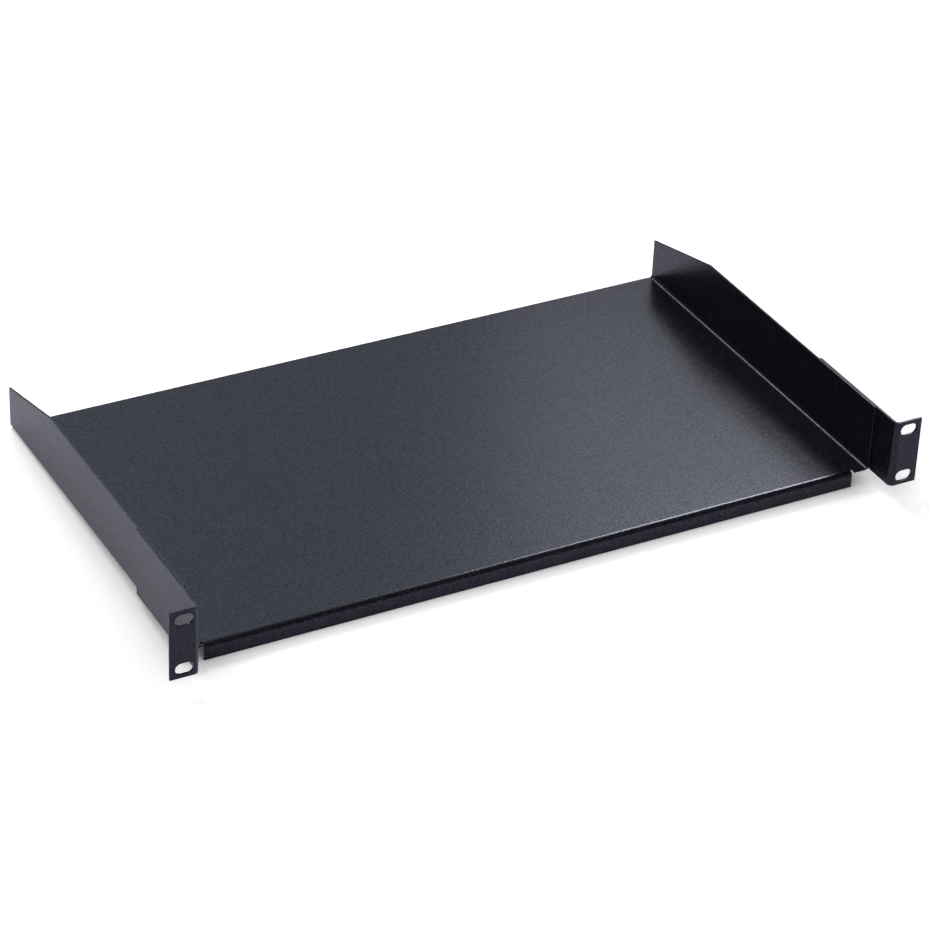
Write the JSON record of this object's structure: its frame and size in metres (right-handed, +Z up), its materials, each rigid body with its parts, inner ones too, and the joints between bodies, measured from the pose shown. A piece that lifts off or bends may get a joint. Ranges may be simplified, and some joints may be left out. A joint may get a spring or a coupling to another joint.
{
  "type": "cantilever rack shelf",
  "caption": "Shallow one-unit shelf folded from sheet steel, with tapered side walls, a lip folded down in front, and two welded L brackets whose slotted ears screw to rack posts.",
  "frame": {"origin": "centre of the four rack screws, in the plane of the ears' rear faces, which rest on the front of the rack posts", "axes": "+X to the right as seen from the front, along the rack's width; +Y to the back, into the rack; +Z up"},
  "size_m": [0.4826, 0.2765, 0.0529],
  "materials": {
    "black_powder_coat": "fine-textured satin black powder coat on folded sheet steel"
  },
  "bodies": {
    "root": {"shelf_tray": "black_powder_coat", "left_bracket": "black_powder_coat", "right_bracket": "black_powder_coat"}
  },
  "joints": []
}
